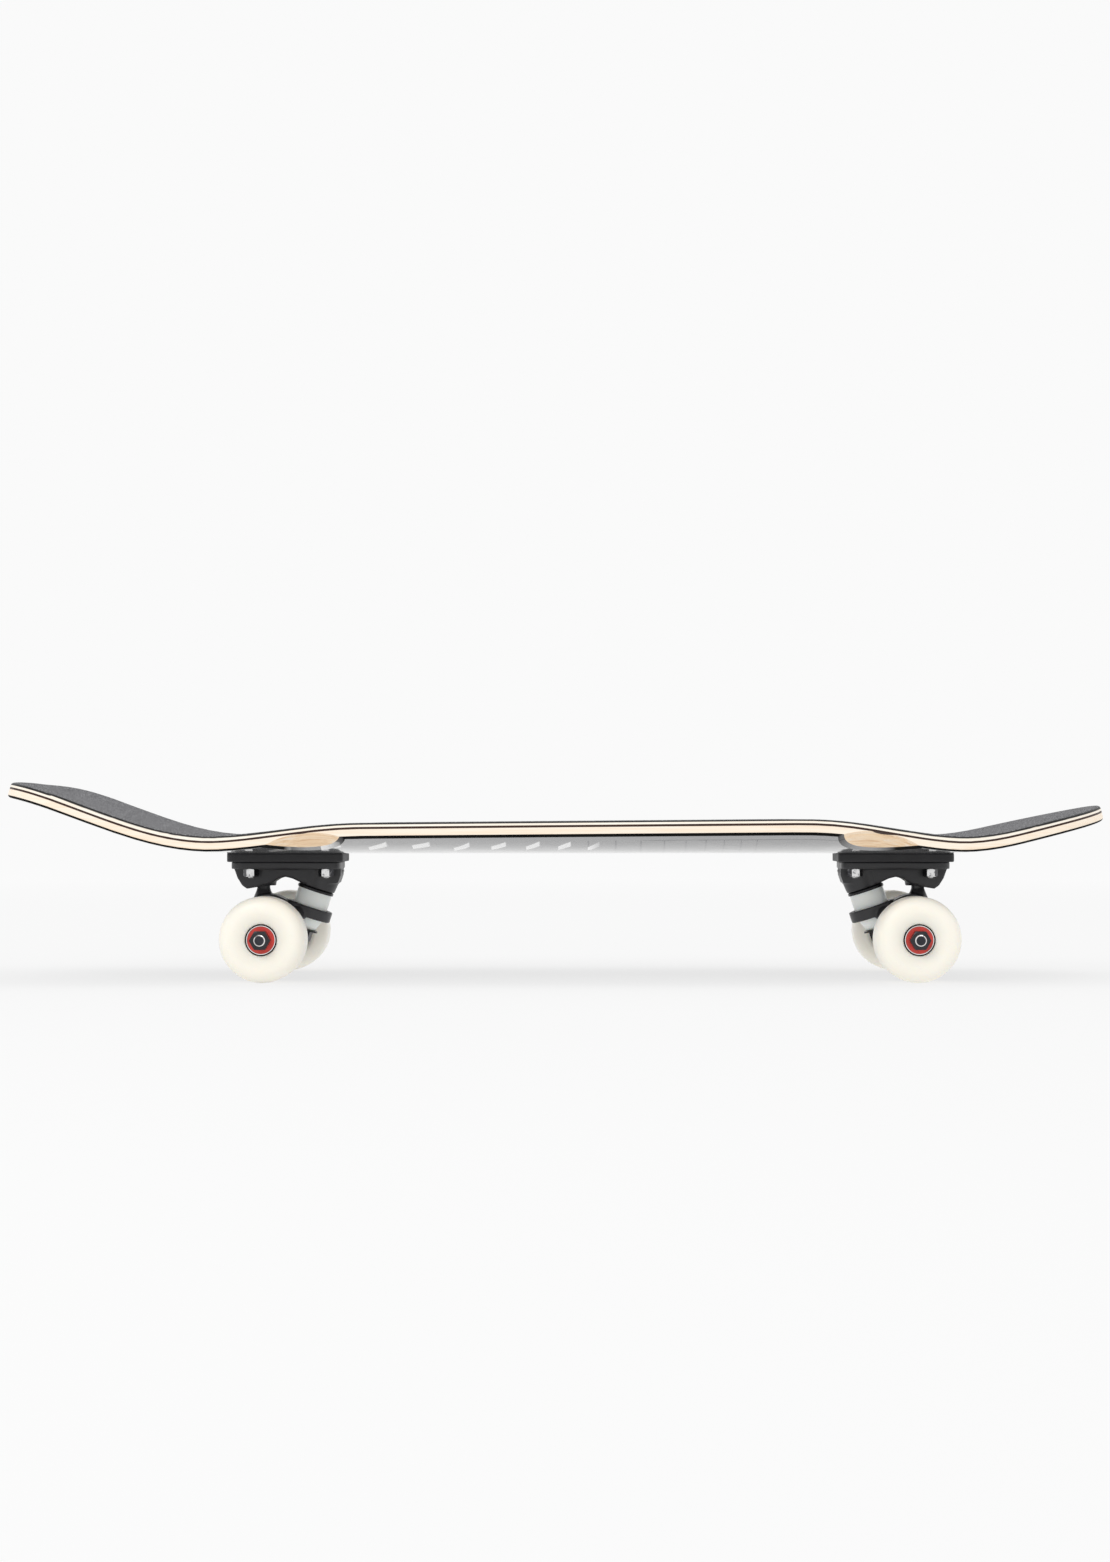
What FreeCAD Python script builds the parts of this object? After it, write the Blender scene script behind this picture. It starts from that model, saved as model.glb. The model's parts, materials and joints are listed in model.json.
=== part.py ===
import FreeCAD, Part
import math
import os
import Sketcher

# A cruiser skateboard: a seven-ply deck with a kicked tail and nose, two trucks on riser pads, and four
# urethane wheels on 608 bearings. Millimetres. +X points to the nose, +Y to the rider's left, +Z up.
# The origin lies on the ground, midway along, across and under the board.
# Each truck is drawn in its own frame: x runs inboard from the axle, y along the axle, z up from the ground.
# Turned pieces are drawn about their own y axis and then placed.

Vector = FreeCAD.Vector
Placement = FreeCAD.Placement
Rotation = FreeCAD.Rotation
ALONG_X = Vector(1, 0, 0)
ALONG_Y = Vector(0, 1, 0)
ALONG_Z = Vector(0, 0, 1)

SIZES = {
    # deck, measured from the wheelbase centre
    "tail_reach": 415.0,
    "nose_reach": 371.3,
    "deck_width": 216.0,
    "ply_thickness": 1.45,
    "ply_count": 7,
    "grip_thickness": 0.7,
    "rail_radius": 2.4,
    "tail_bend_start": 255.0,
    "tail_bend_radius": 200.0,
    "tail_angle": 17.8,
    "tail_flare": 2.6,
    "tail_flare_start": 320.0,
    "tail_flare_length": 70.0,
    "nose_bend_start": 252.0,
    "nose_bend_radius": 178.0,
    "nose_angle": 14.0,
    "nose_flare": 0.0,
    "nose_flare_start": 320.0,
    "nose_flare_length": 70.0,
    "flat_half_width": 44.0,
    "concave_rise": 12.7,
    "concave_gain": 0.008,
    "concave_end_rise": 1.4,
    "tail_concave_fade": 160.0,
    "nose_concave_fade": 150.0,
    "concave_fade_length": 115.0,
    "tail_taper_start": 330.0,
    "tail_taper_power": 5.6,
    "tail_tip_power": 2.6,
    "nose_taper_start": 200.0,
    "nose_taper_power": 3.2,
    "nose_tip_power": 2.0,
    "platform_length": 330.0,
    "platform_width": 56.0,
    # wheel wells in the underside
    "well_offset": 191.5,
    "well_radius": 72.0,
    "well_depth": 5.8,
    "well_angle": 22.8,
    # mounting hardware, number 10 machine screws
    "bolt_centre_offset": 217.5,
    "bolt_spacing_long": 53.98,
    "bolt_spacing_across": 41.28,
    "bolt_radius": 2.38,
    "bolt_length": 28.6,
    "bolt_head_radius": 4.6,
    "bolt_head_height": 2.4,
    "bolt_hole_radius": 2.6,
    "bolt_socket_flats": 3.2,
    "bolt_socket_depth": 1.6,
    "small_nut_flats": 9.5,
    "small_nut_height": 5.6,
    # truck
    "axle_offset": 228.0,
    "axle_height": 30.0,
    "axle_radius": 4.0,
    "axle_half_length": 108.0,
    "hanger_half_width": 73.5,
    "truck_height": 53.0,
    "riser_thickness": 6.35,
    "riser_length": 83.5,
    "riser_width": 57.0,
    "plate_centre": 8.4,
    "flange_length": 78.2,
    "flange_width": 55.0,
    "flange_thickness": 5.0,
    "kingpin_tilt": 18.5,
    "kingpin_x": 28.26,
    "kingpin_z": 63.38,
    "kingpin_radius": 4.76,
    "kingpin_end": 39.4,
    "kingpin_head_top": 17.5,
    "kingpin_head_height": 6.0,
    "kingpin_nut_flats": 14.3,
    "kingpin_nut_height": 7.8,
    "washer_thickness": 1.6,
    "board_washer_radius": 13.35,
    "road_washer_radius": 11.0,
    "road_washer_thickness": 1.1,
    "bushing_bore": 5.0,
    "barrel_radius": 12.5,
    "barrel_end": 16.3,
    "cone_start": 18.1,
    "cone_end": 29.7,
    "cone_top_radius": 12.0,
    "cone_end_radius": 8.7,
    "ring_radius": 17.0,
    "ring_start": 13.2,
    "ring_end": 21.2,
    "ring_middle": 17.2,
    "web_half_thickness": 0.8,
    "web_bore": 7.5,
    "pivot_x": -9.8,
    "pivot_z": 72.5,
    "pivot_ball_radius": 5.0,
    "pivot_seat_radius": 5.15,
    "pivot_stem_radius": 4.7,
    "pivot_cup_radius": 7.4,
    "pivot_cup_top": 6.4,
    "pivot_cup_foot": -4.7,
    "pivot_cup_mouth": 6.5,
    # wheel and bearings
    "wheel_radius": 30.0,
    "wheel_half_width": 18.0,
    "lip_radius": 9.0,
    "wheel_centre": 82.5,
    "bearing_width": 7.0,
    "bearing_radius": 11.0,
    "bearing_bore": 4.03,
    "outer_bearing_centre": 12.5,
    "inner_bearing_centre": -4.5,
    "ball_radius": 1.985,
    "ball_pitch_radius": 7.5,
    "ball_count": 7,
    "race_radius": 2.06,
    "spacer_length": 10.0,
    "speed_washer_thickness": 1.0,
    "speed_washer_radius": 5.8,
    "axle_nut_flats": 12.7,
    "axle_nut_height": 7.5,
}

doc = FreeCAD.newDocument("skateboard")
sheet = doc.addObject("Spreadsheet::Sheet", "sizes")
for row, (alias, value) in enumerate(SIZES.items(), start=1):
    sheet.set(f"A{row}", alias)
    sheet.set(f"B{row}", str(value))
    sheet.setAlias(f"B{row}", alias)
doc.recompute()


def size(alias):
    return float(sheet.get(alias))


def bind(target, **expressions):
    """Bind an object's properties to expressions in which every name is a cell of the sheet."""
    for name, expression in expressions.items():
        target.setExpression(name, in_sheet(expression))


def in_sheet(expression):
    """The expression with the sheet's name put before each alias."""
    words = []
    word = ""
    for character in expression + " ":
        if character.isalnum() or character in "_.":
            word += character
            continue
        words.append("sizes." + word if word in SIZES else word)
        words.append(character)
        word = ""
    return "".join(words).strip()


def new_body(name):
    body = doc.addObject("PartDesign::Body", name)
    body.Label = name
    return body


def origin_plane(body, role):
    return next(plane for plane in body.Origin.OriginFeatures if plane.Role == role)


def polygon(body, name, role, corners):
    """A closed sketch whose corners are held at (x, y) expressions."""
    sketch = body.newObject("Sketcher::SketchObject", name)
    sketch.AttachmentSupport = (origin_plane(body, role), [""])
    sketch.MapMode = "FlatFace"
    turn = 2 * math.pi / len(corners)
    rough = [Vector(20 * math.cos(turn * i), 20 * math.sin(turn * i), 0) for i in range(len(corners))]
    for i, point in enumerate(rough):
        sketch.addGeometry(Part.LineSegment(point, rough[(i + 1) % len(rough)]))
    for i in range(len(rough)):
        sketch.addConstraint(Sketcher.Constraint("Coincident", i, 2, (i + 1) % len(rough), 1))
    for i, corner in enumerate(corners):
        for kind, place, expression in zip(("DistanceX", "DistanceY"), rough[i], corner):
            index = sketch.addConstraint(Sketcher.Constraint(kind, -1, 1, i, 1, place))
            sketch.setExpression(f"Constraints[{index}]", in_sheet(expression))
    return sketch


def turned(name, corners):
    """A body turned about its own y axis; corners are (radius, y) expressions."""
    body = new_body(name)
    turning = body.newObject("PartDesign::Revolution", name + "_turning")
    turning.Profile = polygon(body, name + "_section", "XY_Plane", corners)
    turning.ReferenceAxis = (turning.Profile[0], ["V_Axis"])
    turning.Angle = 360
    body.Tip = turning
    return body


def feature(body, kind, name, place=Placement(), **expressions):
    """A PartDesign primitive such as AdditiveCylinder, put at place in the body's frame."""
    primitive = body.newObject("PartDesign::" + kind, name)
    primitive.Placement = place
    bind(primitive, **expressions)
    body.Tip = primitive
    return primitive


def pad(body, name, role, corners, length):
    """A polygon drawn on an origin plane and padded to both sides of it."""
    block = body.newObject("PartDesign::Pad", name)
    block.Profile = polygon(body, name + "_outline", role, corners)
    block.SideType = "Symmetric"
    bind(block, Length=length)
    body.Tip = block
    return block


def lying(x, y, z, turn=-90):
    """A place whose primitive, drawn along z, lies along +y."""
    return Placement(Vector(x, y, z), Rotation(ALONG_X, turn))


def toward(start, direction):
    """A place whose y axis runs from start along direction."""
    return Placement(start, Rotation(ALONG_Y, direction))


def rounded(body, name, radius, chosen):
    """Fillet the edges of the body's tip for which chosen(edge) is true."""
    doc.recompute()
    tip = body.Tip
    edges = [f"Edge{i}" for i, edge in enumerate(tip.Shape.Edges, start=1) if chosen(edge)]
    fillet = body.newObject("PartDesign::Fillet", name)
    fillet.Base = (tip, edges)
    fillet.Radius = radius
    body.Tip = fillet
    return fillet


nodes = []


def node(label, *placed):
    """A named piece: a compound of links, each to a pattern piece and with a place of its own."""
    links = []
    for i, (source, place) in enumerate(placed, start=1):
        link = doc.addObject("App::Link", f"{label}_link_{i}")
        link.LinkedObject = source
        link.Placement = place
        links.append(link)
    group = doc.addObject("Part::Compound", label)
    group.Label = label
    group.Links = links
    nodes.append(group)
    return group


def coded(label, shape):
    """A piece whose shape is worked out in code from the sheet's sizes."""
    piece = doc.addObject("Part::Feature", label)
    piece.Label = label
    piece.Shape = shape
    piece.Placement = Placement()
    nodes.append(piece)
    return piece


# ---------------------------------------------------------------- deck

WHEELBASE_CENTRE = (size("tail_reach") - size("nose_reach")) / 2
PLY_STACK = size("ply_count") * size("ply_thickness")
DECK_BOTTOM = size("axle_height") + size("truck_height") + size("riser_thickness")
DECK_TOP = DECK_BOTTOM + PLY_STACK
GRIP_TOP = DECK_TOP + size("grip_thickness")
KNOT_STEP_LONG = 14.0
KNOT_STEP_ACROSS = 9.0
SURFACE_MARGIN = 14.0


def eased(t):
    """0 before t = 0, 1 after t = 1, smooth between."""
    t = min(max(t, 0.0), 1.0)
    return t * t * (3 - 2 * t)


def kick_height(reach, start, radius, angle):
    """Rise of a kick at a distance from the wheelbase centre: an arc, then a straight slope."""
    run = reach - start
    if run <= 0:
        return 0.0
    arc_run = radius * math.sin(angle)
    if run <= arc_run:
        return radius - math.sqrt(radius**2 - run**2)
    return radius * (1 - math.cos(angle)) + (run - arc_run) * math.tan(angle)


def underside_height(x, y):
    """Height of the deck's underside; x is from the wheelbase centre."""
    end = "tail" if x < 0 else "nose"
    kick = kick_height(
        abs(x),
        size(end + "_bend_start"),
        size(end + "_bend_radius"),
        math.radians(size(end + "_angle")),
    )
    fade = 1 - eased((abs(x) - size(end + "_concave_fade")) / size("concave_fade_length"))
    flare = eased((abs(x) - size(end + "_flare_start")) / size(end + "_flare_length"))
    end_rise = size("concave_end_rise") + flare * size(end + "_flare")
    full_rise = size("concave_rise") + size("concave_gain") * x
    rise = end_rise + fade * (full_rise - end_rise)
    across = (abs(y) - size("flat_half_width")) / (size("deck_width") / 2 - size("flat_half_width"))
    return DECK_BOTTOM + kick + rise * max(across, 0.0) ** 2


def layer_height(x, y, offset):
    """Height of the surface that lies offset above the underside, measured square to it."""
    step = 0.5
    slope_x = (underside_height(x + step, y) - underside_height(x - step, y)) / (2 * step)
    slope_y = (underside_height(x, y + step) - underside_height(x, y - step)) / (2 * step)
    return underside_height(x, y) + offset * math.sqrt(1 + slope_x**2 + slope_y**2)


def even_knots(low, high, step):
    count = math.ceil((high - low) / step)
    return [low + (high - low) * i / count for i in range(count + 1)]


def pole_places(knots):
    """Where a cubic spline's poles go, so that the coordinate runs evenly along it."""
    padded = [knots[0]] * 3 + knots + [knots[-1]] * 3
    return [sum(padded[i + 1 : i + 4]) / 3 for i in range(len(padded) - 4)]


def layer_face(offset):
    """The pressed surface at a height in the stack, somewhat larger than the deck."""
    half = size("deck_width") / 2 + SURFACE_MARGIN
    long_knots = even_knots(-size("tail_reach") - SURFACE_MARGIN, size("nose_reach") + SURFACE_MARGIN, KNOT_STEP_LONG)
    cross_knots = even_knots(-half, half, KNOT_STEP_ACROSS)
    poles = [
        [Vector(x + WHEELBASE_CENTRE, y, layer_height(x, y, offset)) for y in pole_places(cross_knots)]
        for x in pole_places(long_knots)
    ]
    surface = Part.BSplineSurface()
    surface.buildFromPolesMultsKnots(
        poles,
        [4] + [1] * (len(long_knots) - 2) + [4],
        [4] + [1] * (len(cross_knots) - 2) + [4],
        long_knots,
        cross_knots,
        False,
        False,
        3,
        3,
    )
    return surface.toShape()


def end_curve(end, direction, height):
    """One rounded end of the outline, from the left rail round the tip to the right rail."""
    half = size("deck_width") / 2
    start = size(end + "_taper_start")
    reach = size(end + "_reach") - start
    taper = size(end + "_taper_power")
    tip = size(end + "_tip_power")
    points = []
    for i in range(-9, 10):
        turn = math.radians(10 * i)
        along = reach * math.cos(turn) ** (2 / taper)
        aside = -half * math.copysign(abs(math.sin(turn)) ** (2 / tip), turn)
        points.append(Vector(WHEELBASE_CENTRE + direction * (start + along), aside, height))
    curve = Part.BSplineCurve()
    out = ALONG_X * direction
    curve.interpolate(Points=points, InitialTangent=out, FinalTangent=-out)
    return curve.toShape(), points[0], points[-1]


def end_prism(end, direction):
    """A block with one rounded end, sawn square to that end's kick, that runs on past the other end."""
    tip_height = underside_height(direction * size(end + "_reach"), 0)
    curve, first, last = end_curve(end, direction, tip_height)
    run_on = -ALONG_X * direction * 3 * size("tail_reach")
    corners = [last, last + run_on, first + run_on, first]
    sides = [Part.LineSegment(corners[i], corners[i + 1]).toShape() for i in range(3)]
    floor = Part.Face(Part.Wire(Part.__sortEdges__([curve] + sides)))
    angle = math.radians(size(end + "_angle"))
    square = Vector(-direction * math.sin(angle), 0, math.cos(angle))
    floor.translate(square * -80)
    return floor.extrude(square * 160)


def deck_prism():
    """A block with the deck's outline, taller than the deck."""
    return end_prism("tail", -1).common(end_prism("nose", 1)).removeSplitter().Solids[0]


def between(block, lower, upper):
    """The part of the block that lies between two surfaces."""
    pieces = block.generalFuse([lower, upper])[1][0]
    return sorted(pieces, key=lambda solid: solid.CenterOfMass.z)[1]


def wheel_well(end_x, side):
    """A cylinder that scoops the rail above a wheel, leaning so that it runs out inboard."""
    lean = math.radians(size("well_angle"))
    half = size("deck_width") / 2
    rail = underside_height(end_x, half)
    radius = size("well_radius")
    top = rail + size("well_depth")
    axis = Vector(0, -side * math.cos(lean), -math.sin(lean))
    centre = Vector(end_x + WHEELBASE_CENTRE, side * half, top - radius / math.cos(lean))
    return Part.makeCylinder(radius, 200, centre - axis * 60, axis)


def bolt_places():
    """The eight mounting bolt positions."""
    places = []
    for end in (-1, 1):
        for along in (-1, 1):
            for side in (-1, 1):
                x = WHEELBASE_CENTRE + end * size("bolt_centre_offset") + along * size("bolt_spacing_long") / 2
                places.append(Vector(x, side * size("bolt_spacing_across") / 2, 0))
    return places


def bolt_hole(place, layer_top):
    """The hole through one layer, wide enough for the screw and, near the top, for its sunk head."""
    play = 0.15
    depth = GRIP_TOP - layer_top
    flare = (size("bolt_head_radius") - size("bolt_radius")) / size("bolt_head_height")
    radius = max(size("bolt_hole_radius"), size("bolt_head_radius") - depth * flare + play)
    return Part.makeCylinder(radius, 60, Vector(place.x, place.y, DECK_BOTTOM - 20))


def is_rim(edge):
    """True for the edges where the deck's side wall meets its top or underside."""
    return abs(edge.tangentAt(edge.ParameterRange[0]).z) < 0.9


def make_deck():
    """Press the stack, cut its outline, round the rails, part it into layers, and scoop and drill each."""
    levels = [i * size("ply_thickness") for i in range(int(size("ply_count")) + 1)]
    faces = [layer_face(level) for level in levels]
    grip_face = layer_face(PLY_STACK + size("grip_thickness"))
    blank = between(deck_prism(), faces[0], grip_face)
    rest = blank.makeFillet(size("rail_radius"), [edge for edge in blank.Edges if is_rim(edge)]).Solids[0]
    layers = []
    for face in faces[1:]:
        lower, rest = sorted(rest.generalFuse([face])[1][0], key=lambda solid: solid.CenterOfMass.z)
        layers.append(lower)
    layers.append(rest)
    wells = [wheel_well(end * size("well_offset"), side) for end in (-1, 1) for side in (-1, 1)]
    tops = [DECK_BOTTOM + level for level in levels[1:]] + [GRIP_TOP]
    finished = []
    for layer, top in zip(layers, tops):
        layer = layer.cut(wells).Solids[0]
        for place in bolt_places():
            layer = layer.cut(bolt_hole(place, top)).Solids[0]
        finished.append(layer)
    return finished


def with_flat_platform(grip):
    """The grip tape with a true plane on its level middle."""
    length = size("platform_length")
    width = size("platform_width")
    corner = Vector(WHEELBASE_CENTRE - length / 2, -width / 2, DECK_TOP)
    tile = Part.makeBox(length, width, size("grip_thickness"), corner)
    opening = Part.makeBox(length, width, 20, corner - Vector(0, 0, 10))
    return grip.cut(opening).fuse(tile).Solids[0]


deck_layers = make_deck()
for number, layer in enumerate(deck_layers[:-1], start=1):
    coded(f"ply_{number}", layer)
coded("grip_tape", with_flat_platform(deck_layers[-1]))


# ---------------------------------------------------------------- fasteners and turned pieces


def hex_nut(name, flats, height, bore):
    """A hexagon nut along its own y axis, with both faces chamfered; flats, height and bore are expressions."""
    body = new_body(name)
    feature(body, "AdditivePrism", name + "_hexagon", lying(0, 0, 0), Circumradius=f"{flats} / sqrt(3)", Height=height)
    feature(body, "SubtractiveCylinder", name + "_bore", lying(0, -1, 0), Radius=bore, Height=f"{height} + 2")
    for end, corner_y, way in (("inner", "0", "+"), ("outer", height, "-")):
        chamfer = body.newObject("PartDesign::Groove", f"{name}_{end}_chamfer")
        corners = [
            (f"{flats} * 0.49", corner_y),
            (f"{flats} * 0.62", corner_y),
            (f"{flats} * 0.62", f"{corner_y} {way} {flats} * 0.075"),
        ]
        chamfer.Profile = polygon(body, f"{name}_{end}_chamfer_section", "XY_Plane", corners)
        chamfer.ReferenceAxis = (chamfer.Profile[0], ["V_Axis"])
        chamfer.Angle = 360
        body.Tip = chamfer
    return body


def ring(name, inner, outer, start, end):
    """A plain turned ring between two radii and two heights, all expressions."""
    return turned(name, [(inner, start), (outer, start), (outer, end), (inner, end)])


def machine_screw():
    """A countersunk number 10 screw along y, its head's top at y = 0."""
    body = turned(
        "machine screw",
        [
            ("0", "0"),
            ("bolt_head_radius", "0"),
            ("bolt_head_radius", "-0.3"),
            ("bolt_radius", "-bolt_head_height"),
            ("bolt_radius", "0.6 - bolt_length"),
            ("bolt_radius - 0.5", "-bolt_length"),
            ("0", "-bolt_length"),
        ],
    )
    feature(
        body,
        "SubtractivePrism",
        "socket",
        lying(0, 0, 0, 90),
        Circumradius="bolt_socket_flats / sqrt(3)",
        Height="bolt_socket_depth",
    )
    return body


UPRIGHT = Rotation(ALONG_Y, ALONG_Z)
screw = machine_screw()
small_nut = hex_nut("small nut", "small_nut_flats", "small_nut_height", "bolt_radius + 0.05")
FLANGE_TOP = size("axle_height") + size("truck_height")
FLANGE_BOTTOM = FLANGE_TOP - size("flange_thickness")
SCREW_TOP = GRIP_TOP - 0.1
node("mounting_bolts", *[(screw, Placement(Vector(p.x, p.y, SCREW_TOP), UPRIGHT)) for p in bolt_places()])
node(
    "mounting_nuts",
    *[
        (small_nut, Placement(Vector(p.x, p.y, FLANGE_BOTTOM - size("small_nut_height")), UPRIGHT))
        for p in bolt_places()
    ],
)

# ---------------------------------------------------------------- trucks, each in its own frame

KINGPIN_AXIS = Vector(-math.sin(math.radians(size("kingpin_tilt"))), 0, -math.cos(math.radians(size("kingpin_tilt"))))
KINGPIN_START = Vector(size("kingpin_x"), 0, size("kingpin_z"))
KINGPIN_PLACE = toward(KINGPIN_START, KINGPIN_AXIS)
RING_CENTRE = KINGPIN_START + KINGPIN_AXIS * size("ring_middle")
PIVOT_CENTRE = Vector(size("pivot_x"), 0, size("pivot_z"))
# The primitives below are drawn along z, so this place lays them along the kingpin.
KINGPIN_FRAME = Placement(KINGPIN_START, Rotation(ALONG_Z, KINGPIN_AXIS))


def down(frame, distance):
    """A slanted frame moved along its own axis."""
    return frame * Placement(Vector(0, 0, distance), Rotation())


def truck_bolt_places():
    """The four bolt positions in the truck's frame."""
    centre = size("axle_offset") - size("bolt_centre_offset")
    return [
        (centre + along * size("bolt_spacing_long") / 2, side * size("bolt_spacing_across") / 2)
        for along in (-1, 1)
        for side in (-1, 1)
    ]


def drill_bolt_holes(body, bottom, depth):
    """Four clearance holes through a body in the truck's frame."""
    for number, (x, y) in enumerate(truck_bolt_places(), start=1):
        place = Placement(Vector(x, y, bottom), Rotation())
        feature(body, "SubtractiveCylinder", f"bolt_hole_{number}", place, Radius="bolt_hole_radius", Height=depth)


def is_upright(edge):
    """True for a straight edge along z."""
    return isinstance(edge.Curve, Part.Line) and abs(edge.tangentAt(edge.FirstParameter).z) > 0.999


def centred_block(body, name, length, width, thickness, bottom):
    """A block centred over the baseplate."""
    place = Placement(Vector(size("plate_centre") - size(length) / 2, -size(width) / 2, bottom), Rotation())
    return feature(body, "AdditiveBox", name, place, Length=length, Width=width, Height=thickness)


def make_riser():
    """A riser pad with bolt holes and a kingpin window."""
    body = new_body("riser")
    centred_block(body, "pad", "riser_length", "riser_width", "riser_thickness", FLANGE_TOP)
    rounded(body, "pad_corners", 5.0, is_upright)
    window = Placement(Vector(24, -9, FLANGE_TOP - 1), Rotation())
    feature(body, "SubtractiveBox", "kingpin_window", window, Length="21", Width="18", Height="riser_thickness + 2")
    drill_bolt_holes(body, FLANGE_TOP - 1, "riser_thickness + 2")
    return body


def make_baseplate():
    """The cast baseplate: a flange, a spine that carries the pivot housing, and the kingpin's slanted seat."""
    body = new_body("baseplate casting")
    centred_block(body, "flange", "flange_length", "flange_width", "flange_thickness", FLANGE_BOTTOM)
    rounded(body, "flange_corners", 9.0, is_upright)
    spine = [
        ("-29.8", "flange_floor + 1"),
        ("-29.8", "flange_floor"),
        ("-27.4", "flange_floor - 6.8"),
        ("-24.0", "flange_floor - 12.2"),
        ("-20.6", "flange_floor - 14.6"),
        ("-12.9", "flange_floor - 13.3"),
        ("-3.3", "flange_floor - 10.7"),
        ("2.0", "flange_floor - 7.2"),
        ("7.1", "flange_floor - 5.9"),
        ("12.4", "flange_floor - 7.2"),
        ("19.5", "flange_floor - 10.7"),
        ("45.2", "flange_floor - 10.7"),
        ("47.3", "flange_floor - 4.7"),
        ("47.4", "flange_floor"),
        ("47.4", "flange_floor + 1"),
    ]
    corners = [(x, z.replace("flange_floor", "(axle_height + truck_height - flange_thickness)")) for x, z in spine]
    pad(body, "spine", "XZ_Plane", corners, "25")
    feature(
        body,
        "AdditiveCone",
        "kingpin_seat",
        down(KINGPIN_FRAME, -19.2),
        Radius1="15.5",
        Radius2="13.6",
        Height="19.2 - washer_thickness / 2",
    )
    housing = Placement(Vector(size("pivot_x"), 0, FLANGE_BOTTOM - 12.5), Rotation())
    feature(body, "AdditiveCone", "pivot_housing", housing, Radius1="9", Radius2="10.5", Height="13")
    above = Placement(Vector(-60, -60, FLANGE_TOP), Rotation())
    feature(body, "SubtractiveBox", "top_trim", above, Length="150", Width="120", Height="40")
    feature(
        body,
        "SubtractiveCylinder",
        "kingpin_hole",
        down(KINGPIN_FRAME, -30),
        Radius="kingpin_radius + 0.1",
        Height="32",
    )
    feature(
        body,
        "SubtractiveCylinder",
        "kingpin_recess",
        down(KINGPIN_FRAME, size("kingpin_head_height") - size("kingpin_head_top") - 40),
        Radius="8.8",
        Height="40",
    )
    feature(
        body,
        "SubtractiveCylinder",
        "pivot_socket",
        Placement(Vector(size("pivot_x"), 0, FLANGE_BOTTOM - 30), Rotation()),
        Radius="pivot_cup_radius",
        Height="pivot_z + pivot_cup_top + 0.05 - (axle_height + truck_height - flange_thickness - 30)",
    )
    drill_bolt_holes(body, FLANGE_BOTTOM - 10, "20")
    for number, (x, y) in enumerate(truck_bolt_places(), start=1):
        room = Placement(Vector(x, y, FLANGE_BOTTOM - 20), Rotation())
        feature(body, "SubtractiveCylinder", f"nut_room_{number}", room, Radius="6.2", Height="20")
    return body


def make_hanger():
    """The cast hanger: a kingpin ring, an arm with a ball-ended stem, and a tapered axle beam with wings."""
    body = new_body("hanger casting")
    feature(
        body,
        "AdditiveCylinder",
        "kingpin_ring",
        down(KINGPIN_FRAME, size("ring_start")),
        Radius="ring_radius",
        Height="ring_end - ring_start",
    )
    arm = [
        ("-14.4", "57.8"),
        ("-5.2", "60.0"),
        ("1.0", "58.6"),
        ("6.8", "56.0"),
        ("13.0", "51.1"),
        ("17.5", "47.0"),
        ("14.0", "38.5"),
        ("5.0", "34.5"),
        ("4.0", "20.5"),
        ("-4.0", "19.0"),
        ("-10.5", "24.0"),
        ("-12.0", "36.0"),
        ("-15.0", "50.0"),
    ]
    pad(body, "arm", "XZ_Plane", arm, "21")
    wings = [
        ("-hanger_half_width", "axle_height + 7.2"),
        ("-58", "axle_height + 8.4"),
        ("-30", "axle_height + 15"),
        ("-13", "axle_height + 26"),
        ("13", "axle_height + 26"),
        ("30", "axle_height + 15"),
        ("58", "axle_height + 8.4"),
        ("hanger_half_width", "axle_height + 7.2"),
        ("hanger_half_width", "axle_height - 6"),
        ("20", "axle_height - 10.5"),
        ("-20", "axle_height - 10.5"),
        ("-hanger_half_width", "axle_height - 6"),
    ]
    pad(body, "wings", "YZ_Plane", wings, "9")
    for side, turn in (("left", -90), ("right", 90)):
        way = 1 if side == "left" else -1
        place = lying(0, way * 8, size("axle_height"), turn)
        feature(
            body,
            "AdditiveCone",
            side + "_beam",
            place,
            Radius1="11.5",
            Radius2="8.3",
            Height="hanger_half_width - 8",
        )
    for side in (-1, 1):
        sweep = Rotation(ALONG_Z, Vector(-0.42, side * 0.9, -0.42))
        start = RING_CENTRE + Vector(-4, side * 9, 0)
        name = "left_brace" if side > 0 else "right_brace"
        feature(body, "AdditiveCone", name, Placement(start, sweep), Radius1="5.5", Radius2="7.5", Height="30")
    stem_foot = Placement(Vector(size("pivot_x"), 0, 54), Rotation())
    feature(body, "AdditiveCone", "stem_foot", stem_foot, Radius1="8.5", Radius2="pivot_stem_radius", Height="9.5")
    feature(
        body, "AdditiveCylinder", "pivot_stem", stem_foot, Radius="pivot_stem_radius", Height="pivot_z - 54"
    )
    feature(body, "AdditiveSphere", "pivot_ball", Placement(PIVOT_CENTRE, Rotation()), Radius="pivot_ball_radius")
    # seats for the two bushings, with the web between them
    feature(
        body,
        "SubtractiveCylinder",
        "board_side_seat",
        down(KINGPIN_FRAME, -14),
        Radius="barrel_radius + 0.4",
        Height="14 + ring_middle - web_half_thickness",
    )
    feature(
        body,
        "SubtractiveCylinder",
        "road_side_seat",
        down(KINGPIN_FRAME, size("ring_middle") + size("web_half_thickness")),
        Radius="cone_top_radius + 0.4",
        Height="15.5",
    )
    feature(
        body, "SubtractiveCylinder", "web_hole", down(KINGPIN_FRAME, 5), Radius="web_bore", Height="20"
    )
    room = KINGPIN_FRAME * Placement(Vector(-9.5, -19.5, size("ring_end") + 2), Rotation())
    feature(body, "SubtractiveBox", "nut_room", room, Length="40", Width="39", Height="40")
    feature(
        body,
        "SubtractiveCylinder",
        "axle_bore",
        lying(0, -100, size("axle_height")),
        Radius="axle_radius + 0.03",
        Height="200",
    )
    return body


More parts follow.
